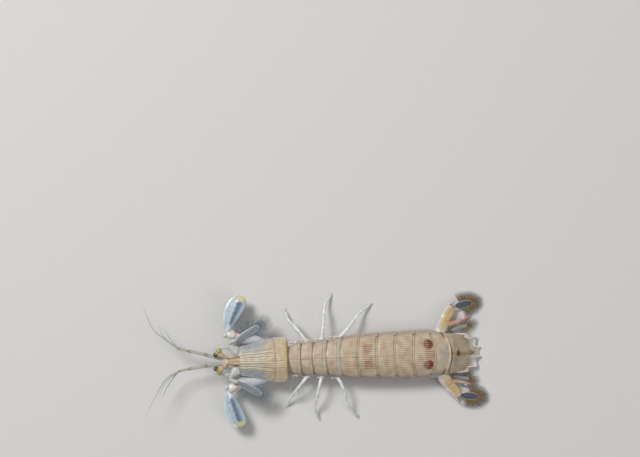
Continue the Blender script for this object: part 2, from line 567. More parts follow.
def rostralPart():
    # a flat plate whose side edges and midline stand up: z = top + edge^6 * 0.16 + midline bell * 0.14
    x = np.linspace(0, 4.3, 40)[:, None]
    share = np.linspace(-1, 1, 61)[None, :]
    half = table(rostral["half"], x)
    tip = rise(0.0, 0.7, x)
    rim = 0.16 * np.abs(share) ** 6
    midline = 0.14 * bell(share, 0.1) * rise(0.5, 1.2, x)
    top = rostral["top"] - 0.5 * (1 - tip) + (rim + midline) * tip - 0.25 * rise(0.96, 1, np.abs(share))
    upper = np.stack([x + 0 * share, half * share, top], -1)
    bottom = rostral["top"] - rostral["thick"] + 0.3 * (1 - tip) + 0 * share
    lower = np.stack([x + 0 * share, half * share * 0.96, bottom], -1)
    tone = palette(rostral)
    colour = paintMix(tone["base"], tone["edge"], rise(0.6, 0.85, np.abs(share)) + 0 * x)
    colour = paintMix(colour, tone["line"], bell(share, 0.07) * 0.8 + 0 * x)
    ring = np.concatenate([upper, lower[:, ::-1][:, 2:-2:2]], 1)
    under = np.broadcast_to(tone["base"], ring[:, 61:].shape)
    return closedGrid(ring, np.concatenate([colour, under], 1))


buildPiece("carapace_shell", [carapacePart(), rostralPart()], finishes["plain"], "shell", "carapace")
print("carapace and rostral plate")


# telson

tailShield = {"front": 87.9, "length": 13.5, "half": 7.9, "thick": 2.5, "slope": 26, "rows": 90, "keels": 25,
              "end": [[0, 11.9], [0.7, 11.95], [1.3, 12.3], [1.65, 12.9], [1.87, 13.5], [2.05, 12.8], [2.35, 11.6],
                      [3.1, 10.2], [3.9, 9.7], [4.6, 9.85], [5.2, 10.5], [5.65, 11.4], [5.85, 11.8], [5.98, 10.6],
                      [6.12, 7.6], [6.5, 6.6], [6.85, 6.9], [7.1, 6.6], [7.45, 6.9], [7.6, 7.4],
                      [7.78, 6.0], [7.9, 4.2]],
              "denticles": [0.2, 0.55, 0.9, 1.2, 2.6, 2.9, 3.2, 3.55, 3.9, 4.25, 4.6, 4.9, 5.2, 6.35, 6.75],
              "base": "#bcac92", "dark": "#6f5b45", "line": "#8a765a", "rim": "#f0e8e2", "tooth": "#de8f98",
              "keelDark": "#4f2410", "keelGold": "#8f5a20", "keelTan": "#a78a54"}


def onSlope(flat):  # from the telson's own plane to the body: turned down by the slope, hind end on the floor
    a = math.radians(tailShield["slope"])
    turned = np.stack([flat[..., 0] * math.cos(a) + flat[..., 2] * math.sin(a), flat[..., 1],
                       -flat[..., 0] * math.sin(a) + flat[..., 2] * math.cos(a)], -1)
    placed = turned + np.array([tailShield["front"], 0, tailShield["length"] * math.sin(a) - 0.1])
    placed[..., 2] = np.maximum(placed[..., 2], 0.0)
    return placed


def telsonEnd(y):  # where the toothed hind edge lies at this distance from the midline
    places, ends = zip(*tailShield["end"])
    return np.interp(y, places, ends)


def telsonPart():
    # y runs across, x from the base to the toothed hind edge; top = dome + rows of beads + the midline keel
    size = tailShield
    half = size["half"]
    flank = np.unique(np.concatenate([np.linspace(0, half, 190), [k[0] for k in size["end"]]]))
    y = np.concatenate([-flank[::-1], flank[1:]])[None, :]
    side = np.abs(y)
    end = telsonEnd(side)
    v = np.concatenate([np.linspace(0, 0.9, size["rows"]), np.linspace(0.91, 1, 24)])[:, None]
    share = side / half
    start = -0.6 - 2.0 * share ** 2  # the base follows the bowed hind edge of the last plate
    x = start + v * (end - start)
    fromEnd = (1 - v) * (end - start)
    rimY = np.linspace(0, half, 160)
    away = (x[..., None] - telsonEnd(rimY)) ** 2 + (side[..., None] - rimY) ** 2  # squared, to each rim point
    away = np.minimum(np.sqrt(away.min(-1)), half - side + 0.25 + 3 * (x < 2.5))
    body = np.interp(x, [0, size["length"]], [size["thick"], 0.85])
    lip = np.sqrt(np.clip(fromEnd / 0.9, 0, 1))
    dome = 0.6 + (body - 0.6) * (1 - share ** 2.2) * (0.25 + 0.75 * rise(0, 3.0, fromEnd))
    dome = dome + 0.9 * bell(x + 0.7, 2.0) * (1 - share ** 2) - 0.6 * np.clip(-x, 0, 3) * share ** 2
    phase = y / half * size["keels"] / 2 * (1 - 0.012 * x)
    beadRow = bell(np.abs(phase - np.round(phase)), 0.26)
    beads = 0.5 + 0.5 * ripple(x * 2.5, y * 2.5, 1.4, 47)
    midWidth = np.interp(x, [0, 1.2, 6, 9.9], [0.9, 1.15, 0.75, 0.1])
    keel = bell(y, midWidth) * np.interp(x, [0.2, 0.8, 5, 9.4, 9.9], [0, 0.75, 0.6, 0.42, 0])
    toothRidge = (bell(side - 5.8, 0.22) + bell(side - 1.9, 0.25) * rise(8, 11, x)) * rise(3, 7, x) * 0.28
    top = dome + (0.05 * beadRow * (0.4 + 0.6 * beads) * (1 - bell(y, midWidth)) + keel + toothRidge) * lip
    top = 0.3 + (top - 0.3) * (0.35 + 0.65 * lip)
    bottom = 0.28 * (1 - lip) * np.ones_like(top)
    tone = palette(size)
    blotch = ripple(x * 1.3, y * 1.3, 2.6, 44)
    colour = paintMix(tone["base"], tone["dark"], 0.08 + 0.08 * blotch + 0 * x)
    colour = paintMix(colour, tone["dark"], 0.22 * bell(x - 4.6, 1.8) * rise(3.4, 6.8, side) * (0.8 + 0.3 * blotch))
    dashes = bell(np.abs(phase * 0.8 - np.round(phase * 0.8)), 0.22) * bell(x - 6.6 + 0.35 * (side - 4), 1.15)
    colour = paintMix(colour, tone["dark"] * 0.6, 0.6 * dashes * rise(1.6, 2.6, side) * (1 - rise(6.6, 7.1, side)))
    groove = bell(np.abs(np.abs(phase - np.round(phase)) - 0.5), 0.2)
    dots = np.clip(0.5 + 0.7 * ripple(x * 2.2, y * 1.6, 1.5, 46), 0.08, 1)
    colour = paintMix(colour, tone["line"] * 0.8, 0.5 * groove * dots)
    paleZone = 0.7 * rise(7.4, 9.2, x + 0.12 * side) * (0.75 + 0.35 * ripple(x * 2, y * 2, 1.5, 45))
    colour = paintMix(colour, tone["rim"] * 0.85, paleZone)
    colour = paintMix(colour, tone["rim"], (1 - rise(0.35, 1.0, away)) * 0.95 * rise(1, 3, x))
    tips = rise(12.6, 13.4, x) + rise(11.0, 11.7, x) * (side > 5) + rise(6.8, 7.3, x) * (side > 7.5)
    colour = paintMix(colour, tone["tooth"], np.clip(tips, 0, 1) * 0.55)
    mid = bell(y, midWidth * 0.85)
    colour = paintMix(colour, tone["keelTan"], np.clip(mid * 1.3, 0, 1) * (1 - rise(9.4, 10.1, x)) * 0.8)
    arrow = bell(side - 0.35 * (10 - x) * (x > 7), 0.35) * bell(x - 8.6, 1.1)
    colour = paintMix(colour, tone["keelGold"], np.clip(arrow, 0, 0.8))
    colour = paintMix(colour, tone["keelDark"], np.clip(bell(y, 0.95) * bell(x - 1.7, 1.0) * 1.5, 0, 0.95))
    colour = paintMix(colour, tone["keelDark"], np.clip(mid * bell(x - 9.2, 0.7), 0, 0.6))
    upper = np.stack([x, y + 0 * x, top], -1)
    lower = np.stack([x - 0.02 * lip, y * 0.998 + 0 * x, bottom], -1)[:, ::-1][:, 2:-2:3]
    flat = np.concatenate([upper, lower], 1)
    under = np.broadcast_to(paintMix(tone["base"], tone["rim"], np.full(lower.shape[:2], 0.5)), lower.shape)
    return closedGrid(onSlope(flat), np.concatenate([colour, under], 1))


def telsonSpines():  # white denticles along the hind edge, and two white bumps beside the keel's root
    white, parts = srgb(tailShield["rim"]), []
    for sign in sides.values():
        for y in tailShield["denticles"]:
            end = telsonEnd(y)
            ends = np.array([[end - 0.3, sign * y, 0.4], [end + 0.42, sign * y, 0.42]])
            parts.append(spine(*onSlope(ends), 0.14, white))
        bump = onSlope(np.array([[0.5, sign * 1.45, 2.3], [1.0, sign * 1.45, 2.65], [1.6, sign * 1.4, 2.2]]))
        parts.append(carried(bump, [[0, 0.1], [0.5, 0.34], [1, 0.08]], None, 14, 14, white))
    return parts


buildPiece("tail_shield", [telsonPart(), *telsonSpines()], finishes["tail"], "tail", "telson")
print("telson")


# tail fan

fan = {"root": [83.4, 7.4], "innerRoot": [88.7, 8.9], "innerTip": [95.7, 11.0], "forkRoot": [87.2, 11.3],
       "spines": 12, "comb": 12,
       "right": {"stemEnd": [86.3, 14.1], "armEnd": [89.3, 18.9], "paddleRoot": [90.5, 18.6],
                 "paddleTip": [97.4, 19.6], "forkTip": [97.1, 15.1]},
       "left": {"stemEnd": [87.4, 13.4], "armEnd": [91.1, 17.4], "paddleRoot": [91.8, 17.0],
                "paddleTip": [98.6, 17.9], "forkTip": [97.5, 13.4]},
       "paddleHairs": 230, "paddleReach": 4.8, "bladeHairs": 90, "bladeReach": 4.3, "hairFlat": 1.6,
       "shell": "#c4b49c", "beige": "#cbbb98", "margin": "#d6cfd2", "yellow": "#c9a437", "orange": "#d08a64",
       "pink": "#dd969a", "white": "#e2dcd8", "slate": "#464d57", "paleRim": "#a9afb0",
       "hairRoot": "#9a7820", "hairTip": "#6d7888"}
fanPaint = palette(fan)


def fringeOf(start, tip, half, reach, count, first, last, droop, seed):
    # bristles along a blade's edge, w from first to last: 0 is the tip, +-1 the two sides near the root;
    # each leaves the edge at the angle w * 112 degrees from the blade's own direction
    roll = np.random.default_rng(seed)
    forward = unit(np.array([tip[0] - start[0], tip[1] - start[1], 0.0]))
    across = np.array([-forward[1], forward[0], 0.0])
    w = np.linspace(first, last, count) + roll.uniform(-0.4, 0.4, count) * abs(last - first) / count
    size = np.abs(w)
    along = 0.96 - 0.71 * np.clip((size - 0.15) / 0.85, 0, 1)
    beside = half * 0.88 * np.sin(np.minimum(size / 0.6, 1) * math.pi / 2) * np.sign(w)
    root = start + (tip - start) * along[:, None] + across * beside[:, None]
    angle = np.radians(w * 112)
    far = reach * roll.uniform(0.84, 1.05, count) * (1 - 0.3 * size ** 2)
    end = root + forward * (far * np.cos(angle))[:, None] + across * (far * np.sin(angle))[:, None]
    end[:, 2] = np.maximum(end[:, 2] + droop * roll.uniform(0.6, 1.2, count), 0.12)
    sag = np.stack([roll.normal(0, 0.12, count), roll.normal(0, 0.12, count), roll.uniform(0.0, 0.25, count)], 1)
    return root, end, sag


def bladePaint(core, rim, tipTone=None):  # core inside, rim along both edges, and tipTone at the tip
    def shade(t, a, points):
        edge = rise(0.72, 0.93, np.abs(np.cos(a))) + 0 * t
        colour = paintMix(core, rim, np.clip(edge + rise(0.93, 0.99, t), 0, 1))
        if tipTone is not None:
            colour = paintMix(colour, tipTone, rise(0.8, 0.95, t) + 0 * a)
        return colour
    return shade


def uropodParts(side, sign):  # stem with its fork, arm with a row of spines, paddle and inner blade
    limb, tone = fan[side], fanPaint

    def at(place, z):  # a place of the dictionary at a height, on this side
        return np.array([place[0], sign * place[1], z])

    def limbPaint(t, a, gold, spread, orange, inside, reach):
        # gold along the middle, orange on the inner side, a whitish outer margin and fine ribs
        outer = np.cos(a) * sign + 0 * t
        colour = paintMix(tone["beige"], tone["yellow"], gold * bell(outer + 0.05, spread))
        colour = paintMix(colour, tone["orange"], orange * bell(outer + inside, reach))
        colour = paintMix(colour, tone["margin"], rise(0.35, 0.7, outer) * 0.9)
        return paintMix(colour, tone["white"], 0.25 * (0.5 + 0.5 * np.cos(a * 9)) + 0 * t)

    def stemPaint(t, a, points):
        return limbPaint(t, a, rise(0.35, 0.75, t) * 0.8, 0.5, rise(0.4, 0.85, t) * 0.7, 0.6, 0.3)

    def armPaint(t, a, points):
        colour = limbPaint(t, a, (1 - rise(0.65, 0.9, t)) * 0.9, 0.6, rise(0.4, 0.9, t) * 0.6, 0.5, 0.4)
        return paintMix(colour, tone["slate"] * 0.8, bell(t - 0.98, 0.04) * 0.8 + 0 * a)

    def forkPaint(t, a, points):
        colour = paintMix(tone["shell"], tone["orange"], bell(t - 0.15, 0.2) * 0.7 + 0 * a)
        return paintMix(colour, tone["pink"], rise(0.35, 0.75, t) + 0 * a)

    def ribbed(t, a):
        return 0.025 * np.cos(9 * a) * np.sin(math.pi * t)

    stemRoot, stemEnd = at(fan["root"], 5.2), at(limb["stemEnd"], 3.1)
    armEnd = at(limb["armEnd"], 1.9)
    stem = carried([stemRoot, stemEnd], [[0, 1.9], [0.31, 2.4], [0.68, 2.3], [0.92, 1.95], [1, 1.3]],
                   [[0, 1.5], [0.31, 1.6], [0.68, 1.3], [0.92, 0.9], [1, 0.45]], 40, 48, stemPaint, relief=ribbed)
    forkRoot, forkTip = at(fan["forkRoot"], 3.3), at(limb["forkTip"], 0.45)
    bow = (forkRoot + forkTip) / 2 + np.array([0, -sign * 0.5, 0.25])
    fork = carried([forkRoot, bow, forkTip], [[0, 1.35], [0.3, 0.8], [0.62, 0.48], [0.96, 0.1], [1, 0.03]],
                   [[0, 1.0], [0.3, 0.7], [0.62, 0.45], [0.96, 0.1], [1, 0.03]], 44, 20, forkPaint)
    lobe = forkRoot + (forkTip - forkRoot) * 0.55
    parts = [stem, fork, spine(lobe, lobe + np.array([2.4, sign * 1.3, -0.7]), 0.5, tone["white"], tip=tone["pink"])]
    for k in range(fan["comb"]):
        share = 0.16 + 0.6 * k / (fan["comb"] - 1)
        start = forkRoot + (forkTip - forkRoot) * share
        reach = 1.75 - 0.8 * k / (fan["comb"] - 1)
        parts.append(spine(start, start + np.array([0.75, -sign * reach, 0.05]), 0.16, tone["white"]))
    buildPiece(f"tail_stem_{side}", parts, finishes["tail"], "tail", f"uropod_stem_{side}")

    arm = carried([stemEnd - (armEnd - stemEnd) * 0.3, armEnd],
                  [[0, 1.3], [0.15, 2.0], [0.4, 2.15], [0.8, 1.95], [1, 1.3]],
                  [[0, 0.6], [0.18, 1.1], [0.4, 1.12], [0.8, 0.9], [1, 0.6]], 36, 48, armPaint, relief=ribbed)
    corner = stemEnd + (armEnd - stemEnd) * 0.85 + np.array([0.7, -sign * 0.9, 0])
    parts = [arm, spine(corner, corner + np.array([3.1, -sign * 0.1, -0.9]), 0.45, tone["white"], tip=tone["pink"])]
    edge = unit(np.cross(up, armEnd - stemEnd)) * sign * np.array([1, 1, 0])
    for k in range(fan["spines"]):
        share = k / (fan["spines"] - 1)
        start = stemEnd + (armEnd - stemEnd) * (-0.15 + 1.07 * share) + edge * (1.9 - 0.5 * share)
        reach = np.array([0.1 + 1.6 * share ** 4, sign * (0.7 + 0.9 * share + 1.7 * share ** 5), -0.3])
        radius = 0.21 + 0.16 * share ** 2
        parts.append(spine(start - 0.3 * reach, start + reach, radius, tone["white"], edge * 0.14, tone["pink"]))
    buildPiece(f"tail_arm_{side}", parts, finishes["tail"], "tail", f"uropod_arm_{side}")

    start, tip = at(limb["paddleRoot"], 1.7), at(limb["paddleTip"], 0.95)
    paddle = carried([start, tip],
                     [[0, 0.5], [0.1, 1.0], [0.3, 1.45], [0.52, 1.55], [0.8, 1.2], [0.95, 0.65], [1, 0.15]],
                     [[0, 0.4], [0.3, 0.42], [0.7, 0.36], [1, 0.1]], 44, 32,
                     bladePaint(tone["slate"], tone["paleRim"]))
    root, end, sag = fringeOf(start, tip, 1.5, fan["paddleReach"], fan["paddleHairs"], -0.8 * sign, 1.0 * sign,
                              -0.3, 100 + sign)
    hair = strands(root, end, sag, 0.048, tone["hairRoot"], tone["hairTip"], flat=fan["hairFlat"])
    buildPiece(f"tail_paddle_{side}", [paddle, hair], finishes["fringe"], "fan", f"uropod_paddle_{side}")

    start, tip = at(fan["innerRoot"], 3.3), at(fan["innerTip"], 0.95)
    inner = carried([start, tip], [[0, 0.5], [0.1, 0.72], [0.3, 0.82], [0.7, 0.8], [0.92, 0.6], [1, 0.12]],
                    [[0, 0.5], [0.5, 0.48], [0.9, 0.4], [1, 0.1]], 44, 24,
                    bladePaint(tone["paleRim"] * 0.7, tone["paleRim"], tone["slate"]))
    root, end, sag = fringeOf(start, tip, 0.8, fan["bladeReach"], fan["bladeHairs"], -0.7, 0.7, -0.3, 200 + sign)
    hair = strands(root, end, sag, 0.042, tone["hairRoot"], tone["hairTip"], flat=fan["hairFlat"])
    buildPiece(f"tail_blade_{side}", [inner, hair], finishes["fringe"], "fan", f"uropod_blade_{side}")


for side, sign in sides.items():
    uropodParts(side, sign)
print("tail fan")


# head, eyes and feelers

head = {"shell": "#cdb4a4", "pale": "#d9cdbf", "shade": "#93705c", "scale": "#b3907a",
        "eyeRootX": -1.5, "eyeRootY": 1.6, "eyeRootZ": 10.0, "reach": 3.6, "outward": 32, "cornea": 2.15,
        "slant": 42, "stalk": "#d0b59c", "stalkDark": "#9a7a62", "eyeGreen": "#b4b070", "eyeDark": "#8d8950",
        "eyeRim": "#c6ca84", "pupil": "#2b1d0c"}
headPaint = palette(head)


def headPieces():  # the front shell with its points, then for each eye a stalk and a two-lobed cornea across it
    tone = headPaint

    def frontPaint(t, a, points):
        colour = paintMix(tone["shell"], tone["shade"], bell(t - 0.55, 0.05) * 0.6 + 0 * a)
        return mottled(colour, tone["pale"], 0.5, 0.5, 3, 61)(t, a, points)

    parts = [carried([[2.4, 0, 8.6], [-0.3, 0, 8.74], [-2.8, 0, 8.87]],
                     [[0, 2.2], [0.3, 2.7], [0.6, 2.8], [0.8, 2.4], [0.95, 1.6], [1, 0.5]],
                     [[0, 1.2], [0.3, 1.45], [0.6, 1.5], [0.8, 1.3], [1, 0.4]], 50, 48, frontPaint)]
    for sign in sides.values():
        start = np.array([-0.6, sign * 1.6, 8.9])
        parts.append(spine(start, start + np.array([-1.0, sign * 1.9, 0]), 0.75, tone["shell"], tip=tone["pale"]))
        scale = mirrored([[-0.1, 0.9, 10.0], [-0.9, 1.35, 10.35], [-1.5, 1.6, 10.2]], sign)
        parts.append(carried(scale, [[0, 0.3], [0.5, 0.5], [1, 0.1]], [[0, 0.2], [0.5, 0.26], [1, 0.08]], 16, 20,
                             tone["scale"]))
    buildPiece("head_front_shell", parts, finishes["limb"], "head", "head_front")

    for side, sign in sides.items():
        root = np.array([head["eyeRootX"], sign * head["eyeRootY"], head["eyeRootZ"]])
        angle = math.radians(head["outward"])
        end = root + np.array([-head["reach"] * math.cos(angle), sign * head["reach"] * math.sin(angle), 0.7])

        def stalkPaint(t, a, points):
            colour = paintMix(tone["stalk"], tone["stalkDark"], bell(t - 0.3, 0.12) * 0.5 + 0 * a)
            return paintMix(colour, tone["eyeGreen"], rise(0.6, 0.85, t) + 0 * a)

        stalk = carried([root, (root + end) / 2, end], [[0, 0.7], [0.33, 0.85], [0.7, 1.35], [1, 1.6]],
                        [[0, 0.7], [0.33, 0.8], [0.7, 1.0], [1, 1.0]], 34, 32, stalkPaint)
        buildPiece(f"eye_stalk_{side}", [stalk], finishes["limb"], "eye", f"eye_{side}")
        turn = sign * math.radians(180 - head["slant"])
        axis = np.array([-math.sin(turn), math.cos(turn), 0.0])
        reach = head["cornea"] * 1.08

        def corneaPaint(t, a, points):
            band = bell(np.sin(a + 0.15), 0.16) + 0 * t
            colour = paintMix(tone["eyeGreen"], tone["eyeDark"], 0.5 + 0.5 * np.sin(np.cos(a) * 9) + 0 * t)
            ends = np.clip(bell(t - 0.02, 0.07) + bell(t - 0.98, 0.07), 0, 1) + 0 * a
            colour = paintMix(colour, tone["eyeRim"], ends)
            colour = paintMix(colour, tone["eyeRim"], 0.55 * rise(0.55, 0.9, -np.sin(a)) + 0 * t)
            spot = bell(t - 0.5 - sign * 0.27, 0.13) * bell(np.sin(a) - 0.85, 0.5)
            return paintMix(colour, tone["pupil"], np.clip(spot * 1.4, 0, 0.92) + band * 0.1)

        cornea = carried([end - axis * reach, end, end + axis * reach],
                         [[0, 0.1], [0.06, 0.6], [0.25, 1.12], [0.5, 1.02], [0.75, 1.1], [0.94, 0.6], [1, 0.1]],
                         [[0, 0.1], [0.06, 0.6], [0.25, 1.15], [0.5, 1.0], [0.75, 1.15], [0.94, 0.6], [1, 0.1]],
                         60, 48, corneaPaint)
        buildPiece(f"eye_cornea_{side}", [cornea], finishes["cornea"], "eye", f"eye_{side}")


headPieces()

feeler = {"joints": {"right": [[-2.9, 0.95], [-9.2, 2.9], [-15.8, 4.6], [-20.2, 5.9]],
                     "left": [[-2.9, -0.95], [-9.2, -1.5], [-15.8, -2.4], [-20.2, -3.2]]},
          "height": [8.5, 9.0, 9.6, 10.0],
          "whips": {"right": [[[-25, 9.6], [-29.6, 13.9], [-33.2, 22.7]],
                              [[-23.4, 8.4], [-25.8, 11.2], [-26.9, 14.5]],
                              [[-22.4, 8.8], [-24.4, 12], [-25.6, 14]]],
                    "left": [[[-24.2, -5.3], [-27.6, -9.4], [-34.1, -20.9]],
                             [[-23.6, -5.6], [-26.6, -9.4], [-28.2, -13.1]],
                             [[-22.4, -5.8], [-25.2, -9.8], [-27, -13.6]]]},
          "rings": 46, "whipRise": [[10.8, 11.6, 12.2], [11.4, 12.4, 13.0], [9.4, 8.8, 8.2]],
          "grey": "#a3a69f", "pale": "#c6c7bd", "olive": "#928649", "dark": "#6d6a52"}
feelerPaint = palette(feeler)


def antennule(side):
    # three stalk joints with a narrow neck at each bend, then whips of many short rings
    tone = feelerPaint
    joints = [[*xy, z] for xy, z in zip(feeler["joints"][side], feeler["height"])]
    ends = (0.367, 0.75, 1.0)

    def jointPaint(t, a, points):
        near = np.min([np.abs(t - e) for e in ends], axis=0)
        colour = paintMix(tone["grey"], tone["pale"], 0.5 + 0.5 * np.cos(a) + 0 * t)
        colour = paintMix(colour, tone["olive"], bell(near, 0.05) * 0.85 + 0 * a)
        return paintMix(colour, tone["dark"], bell(near, 0.012) * 0.7 + 0 * a)

    width = [[0, 0.6], [0.3, 0.7], [0.355, 0.72], [0.37, 0.5], [0.39, 0.6], [0.7, 0.62], [0.74, 0.64], [0.755, 0.42],
             [0.78, 0.48], [0.97, 0.5], [1, 0.34]]
    parts = [carried(joints, width, None, 90, 20, jointPaint)]

    def rings(t, a):
        return 0.09 * np.sin(t * 2 * math.pi * feeler["rings"]) + 0 * a

    def whipPaint(t, a, points):
        return paintMix(tone["grey"] * 0.8, tone["pale"], 0.5 + 0.28 * np.sin(t * math.pi * feeler["rings"]) + 0 * a)

    for route, height in zip(feeler["whips"][side], feeler["whipRise"]):
        path = [joints[3]] + [[*xy, z] for xy, z in zip(route, height)]
        slim = [[0, 0.3], [0.2, 0.24], [0.7, 0.15], [1, 0.05]]
        parts.append(carried(path, slim, None, 240, 8, whipPaint, relief=rings))
    buildPiece(f"feeler_first_{side}", parts, finishes["limb"], "feeler", f"antennule_{side}")


antenna = {"elbow": [-0.1, 6.6, 9.1], "scaleRoot": [3.3, 8.4, 9.6], "scaleTip": [12.3, 13.5, 9.4],
           "base": [3.9, 2.6, 8.3], "whip": [[1.6, 4.6, 8.6], [-0.8, 5.3, 9.0], [-3.2, 5.2, 9.4], [-7.5, 4.5, 9.9]],
           "rays": 260, "rayReach": 6.2, "white": "#d2cdc4", "grey": "#aab4b8", "clear": "#7b858c",
           "rim": "#c9cfd0", "ray": "#7f868a"}
antennaPaint = palette(antenna)


def secondFeeler(side, sign):  # a jointed base, an arm to the fringed scale, and a short whip
    tone = antennaPaint
    named = ("base", "elbow", "scaleRoot", "scaleTip")
    root, elbow, scaleRoot, tip = [mirrored(antenna[key], sign) for key in named]
    blocky = mottled(tone["white"], tone["grey"], 0.45, 0.5, 3.2, 51)
    base = carried([root, (root + elbow) / 2, elbow], [[0, 1.7], [0.33, 2.1], [0.66, 1.35], [1, 0.6]],
                   [[0, 1.3], [0.33, 1.4], [0.66, 1.1], [1, 0.6]], 40, 36, blocky)
    arm = carried([elbow, (elbow + scaleRoot) / 2 + np.array([-0.3, sign * 0.3, 0]), scaleRoot],
                  [[0, 0.6], [0.5, 0.85], [1, 0.65]], [[0, 0.6], [0.5, 0.75], [1, 0.6]], 30, 24, blocky)
    path = mirrored(antenna["whip"], sign)
    whip = carried(path, [[0, 0.6], [0.3, 0.5], [0.42, 0.34], [1, 0.06]], None, 120, 12, blocky)
    buildPiece(f"feeler_second_{side}", [base, arm, whip], finishes["limb"], "feeler", f"antenna_{side}")
    plate = carried([scaleRoot, tip], [[0, 0.6], [0.2, 1.15], [0.5, 1.35], [0.85, 1.28], [0.96, 0.8], [1, 0.2]],
                    [[0, 0.35], [0.5, 0.38], [0.9, 0.3], [1, 0.1]], 50, 32, bladePaint(tone["clear"], tone["rim"]))
    root, end, sag = fringeOf(scaleRoot, tip, 1.35, antenna["rayReach"], antenna["rays"], -0.5 * sign, 1.05 * sign,
                              -0.7, 300 + sign)
    hair = strands(root, end, sag, 0.038, tone["ray"], tone["ray"] * 1.3, flat=fan["hairFlat"])
    buildPiece(f"feeler_scale_{side}", [plate, hair], finishes["fringe"], "fan", f"antennal_scale_{side}")


for side, sign in sides.items():
    antennule(side)
    secondFeeler(side, sign)
print("head, eyes and feelers")


# raptorial claws

claw = {"meralBack": [17.2, 6.5, 6.6], "meralFront": [2.9, 9.7, 6.9], "wrist": [-0.9, 11.2, 7.0], "length": 14.8,
        "thick": 1.55, "lean": {"left": 11, "right": 19}, "teeth": [4.2, 6.3, 8.4, 10.4, 12.2],
        "front": [[0, 0.8], [2, 0.9], [6, 1.4], [11, 1.1], [13.6, 0.3], [14.8, -0.9]],
        "back": [[0, 1.2], [2, 1.9], [6, 3.2], [10, 4.1], [13, 4.1], [14.2, 3.4], [14.8, 2.2]],
        "finger": [[0, 1.3], [2, 2.0], [5, 3.1], [8, 3.5], [11, 3.0], [13.2, 2.0], [14.4, 0.9]],
        "white": "#dce2e2", "blue": "#8aa0b2", "slate": "#41566b", "rim": "#cfdde6", "yellow": "#d9cf8e",
        "pink": "#d4b2a4", "thigh": "#cac9cc", "thighDark": "#adb5bd", "dark": "#1f2a33"}
clawPaint = palette(claw)


